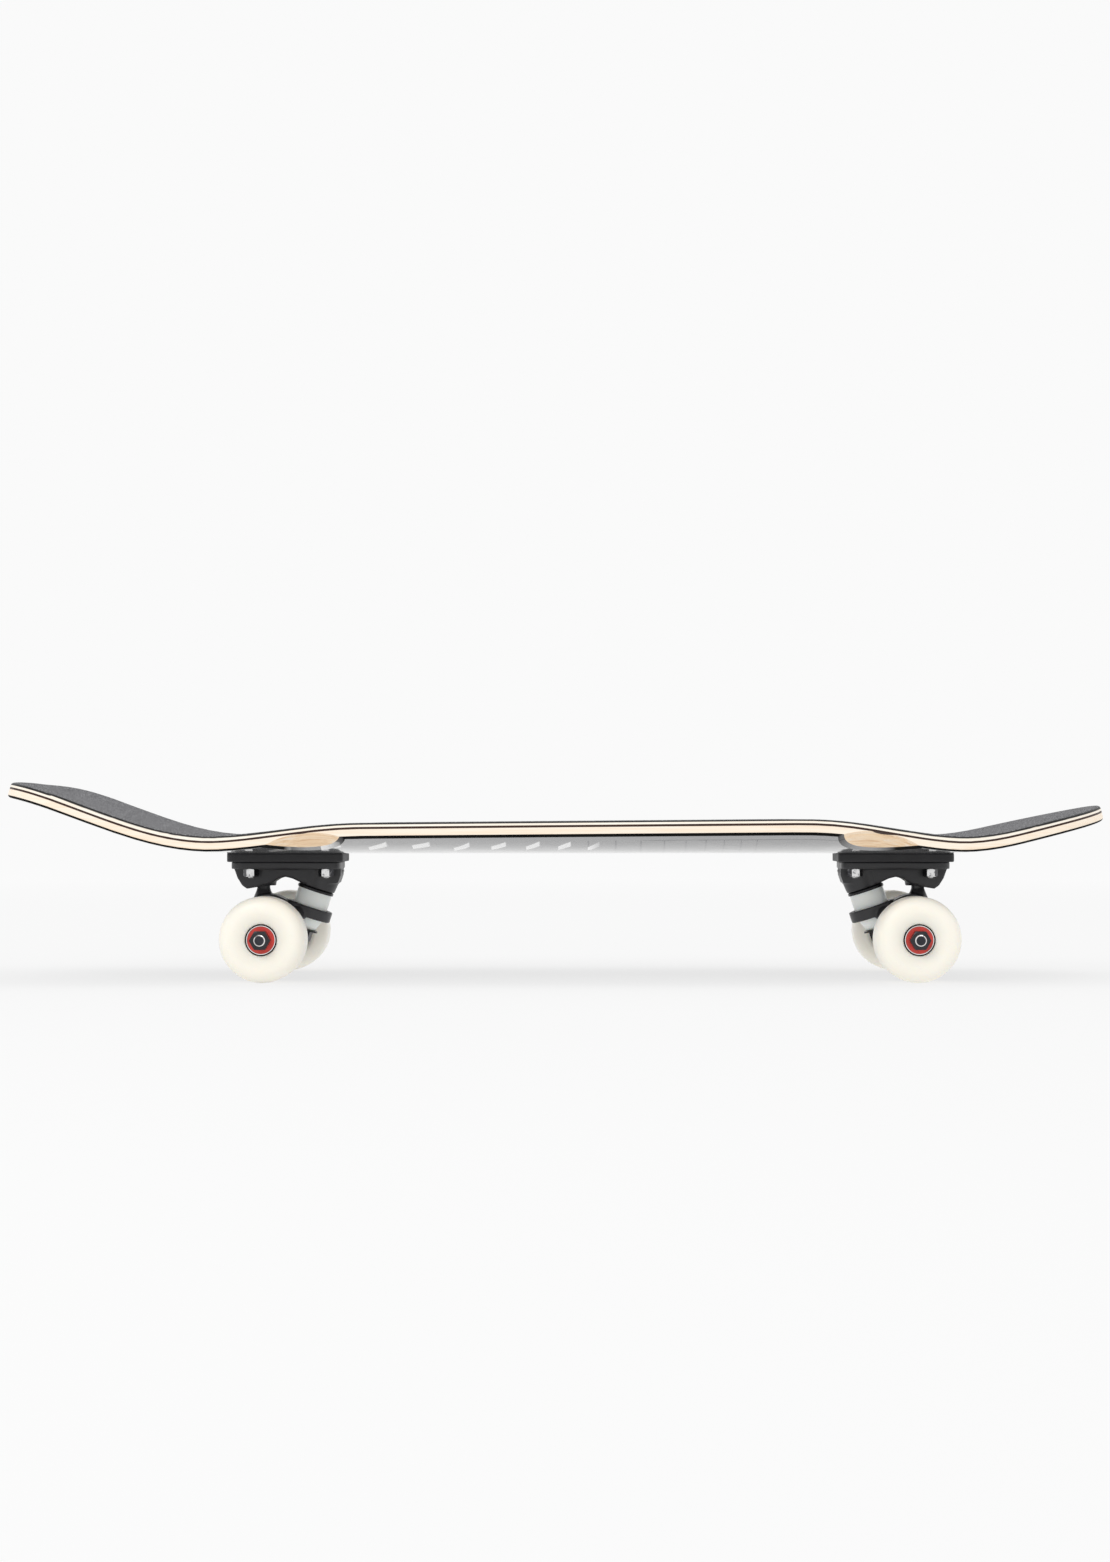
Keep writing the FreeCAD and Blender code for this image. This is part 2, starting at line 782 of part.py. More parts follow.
def make_pivot_cup():
    """The nylon cup in the baseplate, about the ball's centre, with its mouth opening along -y."""
    wall = "pivot_cup_radius - 0.05"
    body = turned(
        "pivot cup", [("0", "pivot_cup_foot"), (wall, "pivot_cup_foot"), (wall, "pivot_cup_top"), ("0", "pivot_cup_top")]
    )
    feature(body, "SubtractiveSphere", "ball_seat", Radius="pivot_seat_radius")
    feature(
        body,
        "SubtractiveCone",
        "mouth",
        lying(0, 0, 0, 90),
        Radius1="pivot_seat_radius",
        Radius2="pivot_cup_mouth",
        Height="-pivot_cup_foot",
    )
    return body


riser = make_riser()
baseplate = make_baseplate()
hanger = make_hanger()
pivot_cup = make_pivot_cup()
kingpin = turned(
    "kingpin",
    [
        ("0", "-kingpin_head_top"),
        ("7.4", "-kingpin_head_top"),
        ("8.2", "0.8 - kingpin_head_top"),
        ("8.2", "kingpin_head_height - kingpin_head_top"),
        ("kingpin_radius", "kingpin_head_height - kingpin_head_top"),
        ("kingpin_radius", "kingpin_end - 1"),
        ("kingpin_radius - 1", "kingpin_end"),
        ("0", "kingpin_end"),
    ],
)
kingpin_nut = hex_nut("kingpin nut", "kingpin_nut_flats", "kingpin_nut_height", "kingpin_radius + 0.05")
board_side_washer = turned(
    "board side washer",
    [
        ("bushing_bore", "-washer_thickness / 2"),
        ("board_washer_radius - 1.2", "-washer_thickness / 2"),
        ("board_washer_radius", "0.2"),
        ("board_washer_radius", "washer_thickness / 2 + 1"),
        ("board_washer_radius - 0.6", "washer_thickness / 2 + 1"),
        ("board_washer_radius - 0.6", "washer_thickness / 2"),
        ("bushing_bore", "washer_thickness / 2"),
    ],
)
board_side_bushing = turned(
    "board side bushing",
    [
        ("bushing_bore", "washer_thickness / 2"),
        ("barrel_radius - 0.4", "washer_thickness / 2"),
        ("barrel_radius", "washer_thickness / 2 + 0.8"),
        ("barrel_radius", "barrel_end - 0.5"),
        ("barrel_radius - 0.5", "barrel_end"),
        ("bushing_bore", "barrel_end"),
    ],
)
road_side_bushing = turned(
    "road side bushing",
    [
        ("bushing_bore", "cone_start"),
        ("cone_top_radius", "cone_start"),
        ("cone_top_radius", "cone_start + 3"),
        ("cone_end_radius", "cone_end"),
        ("bushing_bore", "cone_end"),
    ],
)
road_side_washer = turned(
    "road side washer",
    [
        ("bushing_bore", "cone_end"),
        ("road_washer_radius", "cone_end"),
        ("road_washer_radius", "cone_end + road_washer_thickness"),
        ("bushing_bore", "cone_end + road_washer_thickness"),
    ],
)
axle = turned(
    "axle",
    [
        ("0", "-axle_half_length"),
        ("axle_radius - 0.7", "-axle_half_length"),
        ("axle_radius", "0.7 - axle_half_length"),
        ("axle_radius", "axle_half_length - 0.7"),
        ("axle_radius - 0.7", "axle_half_length"),
        ("0", "axle_half_length"),
    ],
)
axle_nut = hex_nut("axle nut", "axle_nut_flats", "axle_nut_height", "axle_radius + 0.05")
half_washer = "speed_washer_thickness / 2"
speed_washer = ring("speed washer", "axle_radius + 0.1", "speed_washer_radius", "-" + half_washer, half_washer)

# ---------------------------------------------------------------- wheels and bearings, about their own y axis


def make_wheel():
    """A urethane wheel with two bearing seats, dished faces and round lips."""
    face = "wheel_half_width"
    lip = "wheel_radius - lip_radius"
    outer_end = "outer_bearing_centre + bearing_width / 2"
    outer_step = "outer_bearing_centre - bearing_width / 2"
    inner_step = "inner_bearing_centre + bearing_width / 2"
    inner_end = "inner_bearing_centre - bearing_width / 2"
    seat = "bearing_radius + 0.02"
    body = turned(
        "urethane wheel",
        [
            ("8", inner_step),
            (seat, inner_step),
            (seat, inner_end),
            ("14.5", inner_end + " - 1.2"),
            ("18.5", "-" + face + " + 1.2"),
            ("20.5", "-" + face),
            ("wheel_radius", "-" + face),
            ("wheel_radius", face),
            ("19.5", face),
            ("16.5", face + " - 0.5"),
            (seat, outer_end),
            (seat, outer_step),
            ("8", outer_step),
        ],
    )
    rounded(body, "lips", size("lip_radius"), lambda edge: is_circle(edge, size("wheel_radius")))
    return body


def is_circle(edge, radius):
    """True for a full circle of the given radius."""
    return isinstance(edge.Curve, Part.Circle) and abs(edge.Curve.Radius - radius) < 1e-6


def make_race(name, corners):
    """A bearing ring with a groove for the balls."""
    body = turned(name, corners)
    feature(body, "SubtractiveTorus", name + "_groove", lying(0, 0, 0), Radius1="ball_pitch_radius", Radius2="race_radius")
    return body


def make_cage():
    """The ball retainer: a ring with a round pocket for each ball."""
    body = ring("ball cage", "6.6", "8.3", "-2.45", "2.45")
    for number, spot in enumerate(ball_spots(), start=1):
        outward = Placement(Vector(), Rotation(ALONG_Z, spot))
        feature(body, "SubtractiveCylinder", f"pocket_{number}", outward, Radius="ball_radius + 0.1", Height="12")
    return body


def ball_spots():
    """The centres of one bearing's balls."""
    count = int(size("ball_count"))
    pitch = size("ball_pitch_radius")
    turns = [2 * math.pi * i / count for i in range(count)]
    return [Vector(pitch * math.cos(turn), 0, pitch * math.sin(turn)) for turn in turns]


half_width = "bearing_width / 2"
outer_race = make_race(
    "outer race",
    [
        ("bearing_radius", "-" + half_width),
        ("bearing_radius", half_width),
        ("9.6", half_width),
        ("9.6", "2.6"),
        ("8.9", "2.6"),
        ("8.9", "-2.6"),
        ("9.6", "-2.6"),
        ("9.6", "-" + half_width),
    ],
)
inner_race = make_race(
    "inner race",
    [
        ("bearing_bore", "-" + half_width),
        ("6.05", "-" + half_width),
        ("6.05", half_width),
        ("bearing_bore", half_width),
    ],
)
shield = ring("bearing shield", "6.3", "9.55", "2.65", "3.25")
spacer = ring("bearing spacer", "bearing_bore + 0.05", "5.2", "-spacer_length / 2", "spacer_length / 2")
cage = make_cage()
ball = doc.addObject("Part::Sphere", "ball")
bind(ball, Radius="ball_radius")
wheel = make_wheel()

# ---------------------------------------------------------------- assembly

BEARINGS = (size("outer_bearing_centre"), size("inner_bearing_centre"))
FLIPPED = Rotation(ALONG_Z, 180)


def along_axle(distance, turn=Rotation()):
    """A place on the axle of a truck."""
    return Placement(Vector(0, distance, size("axle_height")), turn)


for end, way in (("rear", -1), ("front", 1)):
    facing = Rotation() if end == "rear" else FLIPPED
    truck = Placement(Vector(WHEELBASE_CENTRE + way * size("axle_offset"), 0, 0), facing)
    on_kingpin = truck * KINGPIN_PLACE
    nut_place = on_kingpin * Placement(Vector(0, size("cone_end") + size("road_washer_thickness"), 0), Rotation())
    node(end + "_riser_pad", (riser, truck))
    node(end + "_baseplate", (baseplate, truck))
    node(end + "_pivot_cup", (pivot_cup, truck * Placement(PIVOT_CENTRE, UPRIGHT)))
    node(end + "_kingpin", (kingpin, on_kingpin))
    node(end + "_kingpin_nut", (kingpin_nut, nut_place))
    node(end + "_board_side_washer", (board_side_washer, on_kingpin))
    node(end + "_board_side_bushing", (board_side_bushing, on_kingpin))
    node(end + "_road_side_bushing", (road_side_bushing, on_kingpin))
    node(end + "_road_side_washer", (road_side_washer, on_kingpin))
    node(end + "_hanger", (hanger, truck))
    node(end + "_axle", (axle, truck * along_axle(0)))

    nuts, washers, races, spacers = [], [], [], []
    for side in (-1, 1):
        centre = side * size("wheel_centre")
        bearing_places = [centre + side * distance for distance in BEARINGS]
        face = max(abs(place) for place in bearing_places) + size("bearing_width") / 2
        inboard = size("hanger_half_width") + size("speed_washer_thickness") / 2
        outboard = face + size("speed_washer_thickness") / 2
        outward = Rotation() if side > 0 else FLIPPED
        nuts.append((axle_nut, truck * along_axle(side * (face + size("speed_washer_thickness")), outward)))
        washers += [(speed_washer, truck * along_axle(side * distance)) for distance in (inboard, outboard)]
        races += [(inner_race, truck * along_axle(place)) for place in bearing_places]
        spacers.append((spacer, truck * along_axle(sum(bearing_places) / 2)))
    node(end + "_axle_nuts", *nuts)
    node(end + "_speed_washers", *washers)
    node(end + "_bearing_inner_rings", *races)
    node(end + "_bearing_spacers", *spacers)

    for side, hand in ((-1, "right"), (1, "left")):
        # The wheels and their bearings are placed in the board's own frame, so that both trucks' match.
        corner = f"{end}_{hand}"
        hub = Placement(
            truck.Base + Vector(0, side * size("wheel_centre"), size("axle_height")),
            Rotation() if side > 0 else FLIPPED,
        )
        bearings = [hub * Placement(Vector(0, distance, 0), Rotation()) for distance in BEARINGS]
        node(corner + "_wheel", (wheel, hub))
        node(corner + "_bearing_outer_rings", *[(outer_race, place) for place in bearings])
        flipped_over = Placement(Vector(), Rotation(ALONG_X, 180))
        shields = [(shield, place * turn) for place in bearings for turn in (Placement(), flipped_over)]
        node(corner + "_bearing_shields", *shields)
        balls = [(ball, place * Placement(spot, Rotation())) for place in bearings for spot in ball_spots()]
        node(corner + "_bearing_balls", *balls)
        node(corner + "_bearing_cages", *[(cage, place) for place in bearings])

# ---------------------------------------------------------------- check and export

doc.recompute()
for item in doc.Objects:
    if "Invalid" in item.State or "Error" in item.State:
        raise RuntimeError(f"{item.Label} failed: {item.State}")
os.makedirs("parts", exist_ok=True)
for piece in nodes:
    if piece.Shape.isNull() or not piece.Shape.isValid():
        raise RuntimeError(f"{piece.Label} has no valid shape")
    piece.Shape.exportStep(f"parts/{piece.Label}.step")
    print(piece.Label, len(piece.Shape.Solids), round(piece.Shape.Volume, 1))
print(len(nodes), "nodes")
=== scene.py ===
import json
import math

import bmesh
import bpy
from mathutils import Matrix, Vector


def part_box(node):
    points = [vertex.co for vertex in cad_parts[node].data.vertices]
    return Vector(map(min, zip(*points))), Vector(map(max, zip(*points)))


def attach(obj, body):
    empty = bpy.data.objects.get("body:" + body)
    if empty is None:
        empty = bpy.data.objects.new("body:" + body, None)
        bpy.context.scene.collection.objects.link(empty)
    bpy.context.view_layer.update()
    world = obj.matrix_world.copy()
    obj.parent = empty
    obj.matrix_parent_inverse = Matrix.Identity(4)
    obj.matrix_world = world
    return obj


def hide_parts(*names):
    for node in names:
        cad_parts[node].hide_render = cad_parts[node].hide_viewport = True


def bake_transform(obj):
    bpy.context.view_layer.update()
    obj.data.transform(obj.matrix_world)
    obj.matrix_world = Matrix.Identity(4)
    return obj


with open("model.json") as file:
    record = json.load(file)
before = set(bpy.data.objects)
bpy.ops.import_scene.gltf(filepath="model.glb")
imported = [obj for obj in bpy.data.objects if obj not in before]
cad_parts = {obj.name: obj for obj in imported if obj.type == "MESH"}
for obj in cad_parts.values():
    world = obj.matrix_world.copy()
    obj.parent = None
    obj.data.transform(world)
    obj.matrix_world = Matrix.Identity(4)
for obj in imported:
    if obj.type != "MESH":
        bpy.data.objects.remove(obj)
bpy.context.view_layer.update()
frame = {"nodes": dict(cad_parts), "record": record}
NODES = frame["nodes"]
ENDS = ("rear", "front")
HANDS = ("right", "left")
CORNERS = [(end, hand) for end in ENDS for hand in HANDS]
MM = 0.001

# ------------------------------------------------------------------ places read from the frame


def box(node):
    low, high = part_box(node)
    return Vector(low), Vector(high)


def middle(node):
    low, high = box(node)
    return (low + high) / 2


AXLES = {end: middle(end + "_axle") for end in ENDS}
WHEELBASE_CENTRE = (AXLES["rear"] + AXLES["front"]) / 2
INBOARD = {"rear": 1, "front": -1}
OUTWARD = {"right": -1, "left": 1}

# ------------------------------------------------------------------ camera and light

SENSOR_WIDTH = 36
LENS = 64.35
SHIFT_X = -0.02964
SHIFT_Y = 0.0237
NEAREST = 0.05
FARTHEST = 60
# The eye, in metres: off the centre line, above the ground, and noseward of the wheelbase's centre.
EYE_DISTANCE = 2.031
EYE_HEIGHT = 0.1146
EYE_OFFSET = 0.0077
WHITE = 0.956

camera_data = bpy.data.cameras.new("camera")
camera_data.sensor_width = SENSOR_WIDTH
camera_data.lens = LENS
camera_data.shift_x = SHIFT_X
camera_data.shift_y = SHIFT_Y
camera_data.clip_start = NEAREST
camera_data.clip_end = FARTHEST
camera = bpy.data.objects.new("camera", camera_data)
camera.location = (WHEELBASE_CENTRE.x + EYE_OFFSET, -EYE_DISTANCE, EYE_HEIGHT)
camera.rotation_euler = (math.radians(90), 0, 0)
scene = bpy.context.scene
scene.collection.objects.link(camera)
scene.camera = camera
scene.view_settings.view_transform = "Standard"

world = bpy.data.worlds.new("white tent")
world.use_nodes = True
backdrop = world.node_tree.nodes["Background"].inputs
backdrop["Color"].default_value = (WHITE, WHITE, WHITE, 1)
backdrop["Strength"].default_value = 1.0
scene.world = world


def area_light(name, place, target, size, power):
    """A soft box at place that faces target; size is in metres and power in watts."""
    light = bpy.data.lights.new(name, "AREA")
    light.shape = "RECTANGLE"
    light.size, light.size_y = size
    light.energy = power
    lamp = bpy.data.objects.new(name, light)
    lamp.location = place
    lamp.rotation_euler = (Vector(target) - Vector(place)).to_track_quat("-Z", "Y").to_euler()
    scene.collection.objects.link(lamp)


area_light("key", place=(-0.9, -1.6, 1.5), target=(0, 0, 0.08), size=(1.2, 0.8), power=9)
area_light("top", place=(0.2, 0.3, 1.8), target=(0, 0, 0.1), size=(2.0, 1.0), power=8)

# ------------------------------------------------------------------ material helpers


def colour4(value):
    """A colour with its alpha; anything else as it is."""
    return (*value, 1) if isinstance(value, tuple) and len(value) == 3 else value


class Finish:
    """A node material under construction: add nodes, link them, set the shader's own sockets."""

    def __init__(self, name, colour, roughness, **sockets):
        self.material = bpy.data.materials.new(name)
        self.material.use_nodes = True
        self.tree = self.material.node_tree
        self.shader = self.tree.nodes["Principled BSDF"]
        self.shader.inputs["Base Color"].default_value = (*colour, 1)
        self.shader.inputs["Roughness"].default_value = roughness
        for socket, value in sockets.items():
            self.shader.inputs[socket.replace("_", " ")].default_value = value
        self.coordinates = self.tree.nodes.new("ShaderNodeTexCoord").outputs["Object"]

    def add(self, kind, **inputs):
        """A node of that kind; a node output as a value is linked, anything else is set."""
        made = self.tree.nodes.new("ShaderNode" + kind)
        for socket, value in inputs.items():
            self.put(made.inputs[socket.replace("_", " ")], value)
        return made

    def put(self, socket, value):
        if isinstance(value, bpy.types.NodeSocket):
            self.tree.links.new(value, socket)
        else:
            socket.default_value = value

    def stretched(self, *scale):
        """Object coordinates, each multiplied by its own scale."""
        return self.add("Mapping", Vector=self.coordinates, Scale=scale).outputs["Vector"]

    def place(self, axis):
        """One of the object coordinates."""
        return self.add("SeparateXYZ", Vector=self.coordinates).outputs[axis]

    def facing(self, axis):
        """The surface's direction along an axis, from -1 to 1."""
        normal = self.add("NewGeometry").outputs["Normal"]
        return self.add("SeparateXYZ", Vector=normal).outputs[axis]

    def facing_up(self, low, high):
        """0 on walls and 1 on level tops, with the change between two steepnesses."""
        return self.levels(self.facing("Z"), low, high)

    def facing_down(self, low, high):
        """0 on walls and 1 on level undersides, with the change between two steepnesses."""
        return self.levels(self.facing("Z"), -low, -high)

    def noise(self, scale, detail=3.0, roughness=0.5, coordinates=None, distortion=0.0):
        made = self.add(
            "TexNoise",
            Vector=coordinates or self.coordinates,
            Scale=scale,
            Detail=detail,
            Roughness=roughness,
            Distortion=distortion,
        )
        return made.outputs["Fac"]

    def ramp(self, factor, stops):
        """A colour ramp; stops are (position, colour)."""
        made = self.add("ValToRGB", Fac=factor)
        elements = made.color_ramp.elements
        while len(elements) < len(stops):
            elements.new(0.5)
        for element, (position, colour) in zip(elements, stops):
            element.position = position
            element.color = (*colour, 1)
        return made.outputs["Color"]

    def levels(self, factor, low, high, to_low=0.0, to_high=1.0):
        """The factor rescaled from low..high to to_low..to_high and clamped."""
        made = self.add(
            "MapRange", Value=factor, From_Min=low, From_Max=high, To_Min=to_low, To_Max=to_high
        )
        return made.outputs["Result"]

    def math(self, operation, first, second=0.0):
        made = self.tree.nodes.new("ShaderNodeMath")
        made.operation = operation
        self.put(made.inputs[0], first)
        self.put(made.inputs[1], second)
        return made.outputs["Value"]

    def product(self, first, *others):
        for other in others:
            first = self.math("MULTIPLY", first, other)
        return first

    def difference(self, first, *others):
        for other in others:
            first = self.math("SUBTRACT", first, other)
        return first

    def size_of(self, value):
        """The value without its sign."""
        return self.math("ABSOLUTE", value)

    def mix(self, factor, first, second):
        """A blend of two colours."""
        made = self.tree.nodes.new("ShaderNodeMix")
        made.data_type = "RGBA"
        self.put(made.inputs[0], factor)
        self.put(made.inputs[6], colour4(first))
        self.put(made.inputs[7], colour4(second))
        return made.outputs[2]

    def colour(self, value):
        self.put(self.shader.inputs["Base Color"], value)

    def roughness(self, factor):
        self.put(self.shader.inputs["Roughness"], factor)

    def bump(self, height, distance, strength):
        """Fine relief; distance is in metres."""
        made = self.add("Bump", Height=height, Distance=distance, Strength=strength)
        self.put(self.shader.inputs["Normal"], made.outputs["Normal"])

    def thread(self, axis, pitch, where):
        """Screw thread relief along an axis, where the factor is 1; pitch is in metres."""
        along = self.tree.nodes.new("ShaderNodeVectorMath")
        along.operation = "DOT_PRODUCT"
        self.put(along.inputs[0], self.coordinates)
        along.inputs[1].default_value = axis
        turns = self.product(along.outputs["Value"], 2 * math.pi / pitch)
        wave = self.product(self.math("SINE", turns), where)
        self.bump(wave, distance=0.25 * MM, strength=1.0)


# ------------------------------------------------------------------ finishes

# Black of cut edges; on the lowest ply's rounding it is partly painted dark reflection.
EDGE_BLACK_AND_DARK_REFLECTION = (0.004, 0.004, 0.004)
# Black painted on the top ply as shadow along the grip tape's edge.
GRIP_EDGE_SHADOW_BLACK = (0.006, 0.006, 0.006)


def grip_finish():
    """Silicon carbide grit: dull grey grains, a few painted light as sparkle, and a black cut edge.
    """
    finish = Finish("grit", (0.05, 0.05, 0.052), 0.85, Specular_IOR_Level=0.3)
    grains = finish.add("TexVoronoi", Vector=finish.coordinates, Scale=1300.0)
    speckle = finish.noise(scale=900.0, detail=2.0)
    tone = finish.product(grains.outputs["Color"], speckle)
    # The lightest grains are painted sparkle, light that the grit would throw back.
    valley, grain, painted_sparkle = (0.04, 0.04, 0.044), (0.12, 0.12, 0.127), (0.42, 0.42, 0.43)
    top = finish.ramp(tone, [(0.05, valley), (0.28, grain), (0.6, painted_sparkle)])
    finish.colour(finish.mix(finish.facing_up(0.86, 0.91), EDGE_BLACK_AND_DARK_REFLECTION, top))
    finish.bump(grains.outputs["Distance"], distance=0.2 * MM, strength=0.7)
    return finish.material


def wood_finish(name, edge, streak, face, grain, shadow_painted_from=None):
    """Maple veneer: a sanded edge with faint streaks, and figured grain where a cutter scooped it.

    Above the steepness that the last argument gives, the edge is black: painted shadow along the
    grip tape's edge.
    """
    finish = Finish(name, edge, 0.5, Specular_IOR_Level=0.3)
    long_streaks = finish.noise(
        scale=60.0,
        detail=4.0,
        roughness=0.6,
        coordinates=finish.stretched(0.35, 3.0, 14.0),
        distortion=0.4,
    )
    pores = finish.noise(
        scale=160.0, roughness=0.6, coordinates=finish.stretched(0.6, 22.0, 22.0)
    )
    figure = finish.noise(
        scale=34.0,
        detail=4.0,
        roughness=0.6,
        coordinates=finish.stretched(0.5, 5.0, 9.0),
        distortion=1.2,
    )
    sanded = finish.mix(finish.levels(long_streaks, 0.4, 0.75, to_high=0.8), edge, streak)
    scooped = finish.ramp(figure, [(0.3, grain), (0.5, face), (0.72, edge)])
    scooped = finish.mix(finish.levels(pores, 0.52, 0.7, to_high=0.55), scooped, grain)
    wood = finish.mix(finish.facing_down(0.12, 0.3), sanded, scooped)
    if shadow_painted_from is not None:
        # Painted shadow: the rounded top of the edge is black along the grip tape.
        wood = finish.mix(finish.facing_up(shadow_painted_from, shadow_painted_from + 0.1), wood, GRIP_EDGE_SHADOW_BLACK)
    finish.colour(wood)
    finish.roughness(finish.levels(pores, 0.3, 0.7, to_low=0.42, to_high=0.6))
    finish.bump(pores, distance=0.04 * MM, strength=0.4)
    return finish.material


# The print under the board, in metres from the wheelbase's centre and from the centre line. It is
# a row of marks: white strokes toward the tail and dark rules across the board toward the nose.
MARK_SPACING = 0.0197  # at the wheelbase's centre
SPACING_LOSS = 0.08  # for each metre toward the nose
STROKE_LINE = 0.071  # from the centre line to the strokes, before they wander off it
STROKE_WANDER = 0.03
STROKE_SLANT = 0.03  # sideways for a whole spacing
STROKE_MIDDLE = 0.2  # of a spacing
STROKE_SHARES = (0.44, 0.4)  # of a spacing, from no paint to full paint
STROKE_SIDES = (0.0064, 0.005)
STROKES_STOP = (0.01, 0.0)
RULE_SHARES = (0.06, 0.045)
RULES_START = (-0.01, 0.0)
RULES_STOP = (0.125, 0.12)
RULE_ENDS = (0.1, 0.098)
BORDER_LINE = 0.099
BORDER_SIDES = (0.0008, 0.0005)
BORDER_START = (0.03, 0.045)
# The print's grey ground: partly its own dark paint, partly painted reflection of the pale floor.
GROUND_GREY_AND_REFLECTION = (0.2, 0.2, 0.205)
RULE_INK = (0.02, 0.02, 0.03)
STROKE_INK = (0.9, 0.9, 0.9)


def painted_ply_finish():
    """The lowest ply's varnished print, with a black matt edge: partly the ply's own black paint,
    partly painted dark reflection on the bottom rounding.
    """
    finish = Finish(
        "varnished print",
        (0.1, 0.1, 0.105),
        0.16,
        Coat_Weight=1.0,
        Coat_Roughness=0.05,
        IOR=1.6,
    )
    along = finish.difference(finish.place("X"), WHEELBASE_CENTRE.x)
    aside = finish.size_of(finish.place("Y"))
    wander = finish.noise(
        scale=23.0, detail=1.0, roughness=0.4, coordinates=finish.stretched(1.0, 0.0, 0.0)
    )
    # The spacing shrinks evenly along the board, so the count of marks is its logarithm.
    spacing = finish.difference(MARK_SPACING, finish.product(along, SPACING_LOSS))
    count = finish.product(finish.math("LOGARITHM", spacing, math.e), -1 / SPACING_LOSS)
    step = finish.math("FRACT", count)

    centre_line = finish.math("ADD", finish.product(wander, STROKE_WANDER), STROKE_LINE)
    slant = finish.product(finish.difference(step, STROKE_MIDDLE), STROKE_SLANT)
    off_line = finish.size_of(finish.difference(aside, centre_line, slant))
    stroke = finish.product(
        finish.levels(off_line, *STROKE_SIDES),
        finish.levels(step, *STROKE_SHARES),
        finish.levels(along, *STROKES_STOP),
    )
    rule = finish.product(
        finish.levels(step, *RULE_SHARES),
        finish.levels(along, *RULES_START),
        finish.levels(along, *RULES_STOP),
        finish.levels(aside, *RULE_ENDS),
    )
    off_border = finish.size_of(finish.difference(aside, BORDER_LINE))
    border = finish.product(
        finish.levels(off_border, *BORDER_SIDES), finish.levels(along, *BORDER_START)
    )
    rules = finish.math("MAXIMUM", rule, border)
    printed = finish.mix(stroke, finish.mix(rules, GROUND_GREY_AND_REFLECTION, RULE_INK), STROKE_INK)

    # Off the varnished underside the ply is black and matt: partly its own paint, partly painted
    # dark reflection on the rounding.
    varnished = finish.facing_down(0.88, 0.92)
    finish.colour(finish.mix(varnished, EDGE_BLACK_AND_DARK_REFLECTION, printed))
    finish.roughness(finish.levels(varnished, 0.0, 1.0, to_low=0.7, to_high=0.16))
    finish.put(finish.shader.inputs["Coat Weight"], varnished)
    gloss = finish.levels(varnished, 0.0, 1.0, to_low=0.05, to_high=0.5)
    finish.put(finish.shader.inputs["Specular IOR Level"], gloss)
    ripple = finish.noise(
        scale=55.0, detail=2.0, roughness=0.4, coordinates=finish.stretched(1.0, 3.0, 3.0)
    )
    finish.bump(ripple, distance=0.03 * MM, strength=0.3)
    return finish.material


def casting_finish(name):
    """Satin black paint on a sand casting: a fine orange peel and rubbed highlights."""
    finish = Finish(name, (0.02, 0.02, 0.022), 0.38, Specular_IOR_Level=0.5)
    peel = finish.noise(scale=900.0, roughness=0.6)
    cloud = finish.noise(scale=60.0, detail=2.0)
    dark, rubbed = (0.014, 0.014, 0.016), (0.03, 0.03, 0.033)
    finish.colour(finish.ramp(cloud, [(0.3, dark), (0.75, rubbed)]))
    finish.roughness(finish.levels(cloud, 0.3, 0.7, to_low=0.3, to_high=0.46))
    finish.bump(peel, distance=0.08 * MM, strength=0.5)
    return finish.material


def urethane_finish(name, colour, shade, roughness):
    """Cast urethane: a faint glow under the surface, a satin face and tiny marks."""
    finish = Finish(
        name,
        colour,
        roughness,
        Subsurface_Weight=0.25,
        Subsurface_Scale=0.004,
        Specular_IOR_Level=0.45,
    )
    finish.shader.inputs["Subsurface Radius"].default_value = (1.0, 0.8, 0.6)
    cloud = finish.noise(scale=45.0)
    finish.colour(finish.ramp(cloud, [(0.25, shade), (0.7, colour)]))
    scuffs = finish.noise(scale=700.0, roughness=0.65)
    smooth, scuffed = roughness - 0.06, roughness + 0.12
    finish.roughness(finish.levels(scuffs, 0.3, 0.75, to_low=smooth, to_high=scuffed))
    finish.bump(scuffs, distance=0.02 * MM, strength=0.5)
    return finish.material


def metal_finish(name, colour, roughness, metallic=1.0):
    """Turned or plated steel with fine tooling marks."""
    finish = Finish(name, colour, roughness, Metallic=metallic)
    marks = finish.noise(scale=1400.0, detail=2.0, roughness=0.6)
    cloud = finish.noise(scale=180.0, detail=2.0)
    dark = tuple(channel * 0.72 for channel in colour)
    finish.colour(finish.ramp(cloud, [(0.3, dark), (0.7, colour)]))
    smooth, marked = roughness - 0.06, roughness + 0.1
    finish.roughness(finish.levels(marks, 0.3, 0.7, to_low=smooth, to_high=marked))
    finish.bump(marks, distance=0.01 * MM, strength=0.5)
    return finish.material


def nut_finish():
    """Zinc-plated nuts with painted reflections: the flats that face along the board are painted
    dark, the rest bright, broken up by painted patches.
    """
    finish = Finish("zinc plate with painted reflections", (0.6, 0.6, 0.6), 0.25, Metallic=1.0)
    # Painted reflections: the colour darkens as a face turns along the board, plus noise patches,
    # in place of light and dark in the surroundings.
    painted_reflection_facing = finish.size_of(finish.facing("X"))
    marks = finish.noise(scale=420.0, detail=2.0, roughness=0.6)
    painted_reflection_patches = finish.levels(marks, 0.4, 0.65, to_low=-0.25, to_high=0.45)
    shade = finish.math("ADD", painted_reflection_facing, painted_reflection_patches)
    bright, dull, dark = (0.75, 0.75, 0.75), (0.3, 0.3, 0.31), (0.04, 0.04, 0.045)
    finish.colour(finish.ramp(shade, [(0.15, bright), (0.45, dull), (0.7, dark)]))
    finish.roughness(finish.levels(marks, 0.3, 0.7, to_low=0.18, to_high=0.35))
    return finish.material


